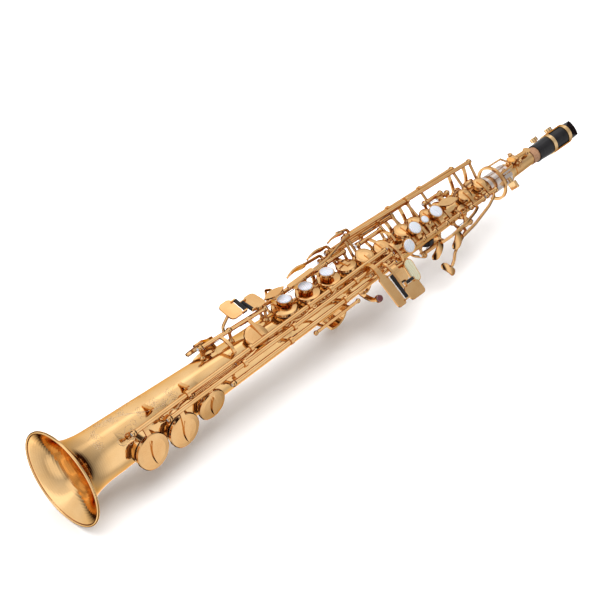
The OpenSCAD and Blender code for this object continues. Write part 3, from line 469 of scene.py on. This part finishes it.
joint = {j["name"]: j for j in frame["joints"]}
hinge = Vector(joint["neck_octave_key_hinge"]["pos_m"])
at = Vector((hinge.x - 6.8 * MM, 0, hinge.z + 1.58 * MM)) # on top of the key's round plate
dome = [(0, -0.2), (4.0, -0.2), (4.0, 0.2), (3.7, 0.45), (2.0, 0.62), (0, 0.68)]
bm = bmesh.new()
turned(bm, at, (0, 0, 1), [(r * MM, h * MM) for r, h in dome], 32)
piece("neck_key_badge", bm, MAT["amber"], "neck_octave_key")


# ---------------------------------------------------------------- needle springs

blue, nt, b = material("blued_steel", (0.06, 0.07, 0.11), 1.0, 0.3)
v = coords(nt, (1, 40, 40))
polish = ramp(nt, noise(nt, v, 300, 3), [(0.3, grey(0.22)), (0.8, grey(0.42))])
nt.links.new(polish, b.inputs["Roughness"])
SPRING = 16 * MM # its length
bm = bmesh.new()
for j in frame["joints"]:
    if j.get("parent") != "body" or not j.get("stiffness") or j["name"].startswith("neck"):
        continue
    p, d = Vector(j["pos_m"]), Vector(j["axis"]).normalized()
    first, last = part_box(j["child"])
    if last[0] - first[0] > 0.2: # a long rod's spring sits clear of the cups beside its middle
        p -= d * 0.03
    radial = Vector((0, p.y, p.z)).normalized()
    side = d.cross(radial)
    a = p - radial * 3.1 * MM - side * 0.6 * MM - d * SPRING / 2
    tube_along(bm, [a, a + d * SPRING / 2 - radial * 0.2 * MM, a + d * SPRING - radial * 0.7 * MM],
        [0.35 * MM, 0.32 * MM, 0.2 * MM], 6)
piece("needle_springs", bm, blue, "body")


# ---------------------------------------------------------------- stage

middle = Vector((0.33, 0.0, 0.0)) # of the horn, which the light is aimed at

bm = bmesh.new()
bmesh.ops.create_grid(bm, x_segments=1, y_segments=1, size=12)
me = bpy.data.meshes.new("floor")
bm.to_mesh(me)
bm.free()
floor = bpy.data.objects.new("floor", me)
floor.location = (0.3, 0, floor_z)
floor.data.materials.append(material("paper_white", (0.94, 0.93, 0.925), 0.0, 0.9)[0])
bpy.context.scene.collection.objects.link(floor)
floor.visible_glossy = False # the brass reflects the studio, below it too

world = bpy.data.worlds.new("studio")
bpy.context.scene.world = world
world.use_nodes = True
nt = world.node_tree
toward = nt.nodes.new("ShaderNodeSeparateXYZ")
nt.links.new(nt.nodes.new("ShaderNodeTexCoord").outputs["Generated"], toward.inputs["Vector"])


def along(axis, stops):
    """A colour that changes with the direction along X, Y or Z; the stops run from -1 to 1."""
    half = nt.nodes.new("ShaderNodeMath")
    half.operation = "MULTIPLY_ADD"
    nt.links.new(toward.outputs[axis], half.inputs[0])
    half.inputs[1].default_value = 0.5
    half.inputs[2].default_value = 0.5
    return ramp(nt, half.outputs[0], [(0.5 + 0.5 * at, colour) for at, colour in stops])


def mixed(kind, fac, a, b):
    m = nt.nodes.new("ShaderNodeMix")
    m.data_type = "RGBA"
    m.blend_type = kind
    for socket, value in ((m.inputs[0], fac), (m.inputs[6], a), (m.inputs[7], b)):
        if isinstance(value, (int, float, tuple)):
            socket.default_value = value
        else:
            nt.links.new(value, socket)
    return m.outputs[2]


# The room that the brass reflects. Along the horn it is bright where the tube and the inside of
# the bell look, with dark stretches between that draw the edges of cups, posts and arms.
ends = along("X", [(-0.42, grey(0.95)), (-0.18, UNLIT), (0.10, UNLIT), (0.27, grey(1.0)),
    (0.52, grey(1.0)), (0.66, grey(0.7)), (0.86, grey(0.5)), (0.95, UNLIT)])
# across the horn it is darkest low on the left, with a bright strip just right of overhead
sides = along("Y", [(-0.75, grey(0.72)), (-0.5, grey(0.44)), (-0.2, grey(0.56)), (0.12, grey(0.68)),
    (0.24, grey(1.0)), (0.38, grey(1.0)), (0.5, grey(0.74)), (0.8, grey(0.66))])
top = along("Z", [(0.8, grey(0.0)), (0.95, grey(1.0))])
sky = mixed("MIX", top, mixed("MULTIPLY", 1.0, ends, sides), (0.76, 0.75, 0.74, 1))
nt.links.new(sky, nt.nodes["Background"].inputs["Color"])
nt.nodes["Background"].inputs["Strength"].default_value = SKY

# one large soft light overhead, which casts the shadow and leaves no image of itself in the brass
light_data = bpy.data.lights.new("key_light", "AREA")
light_data.shape = "RECTANGLE"
light_data.size, light_data.size_y = 2.6, 2.2
light_data.energy = KEY_WATTS
light = bpy.data.objects.new("key_light", light_data)
light.location = (0.30, 0.25, 1.7)
light.rotation_euler = (middle - light.location).to_track_quat("-Z", "Y").to_euler()
light.visible_glossy = False
bpy.context.scene.collection.objects.link(light)


# ---------------------------------------------------------------- camera

cam_data = bpy.data.cameras.new("camera")
cam_data.sensor_width = 36
cam_data.lens = 102.18
cam = bpy.data.objects.new("camera", cam_data)
bpy.context.scene.collection.objects.link(cam)
cam.location = (-0.55407, -0.80365, 1.02344)
aim = Vector((0.298, 0.015, 0.0))
cam.rotation_euler = (aim - cam.location).to_track_quat("-Z", "Y").to_euler()
bpy.context.scene.camera = cam

bpy.context.scene.view_settings.view_transform = "Standard"
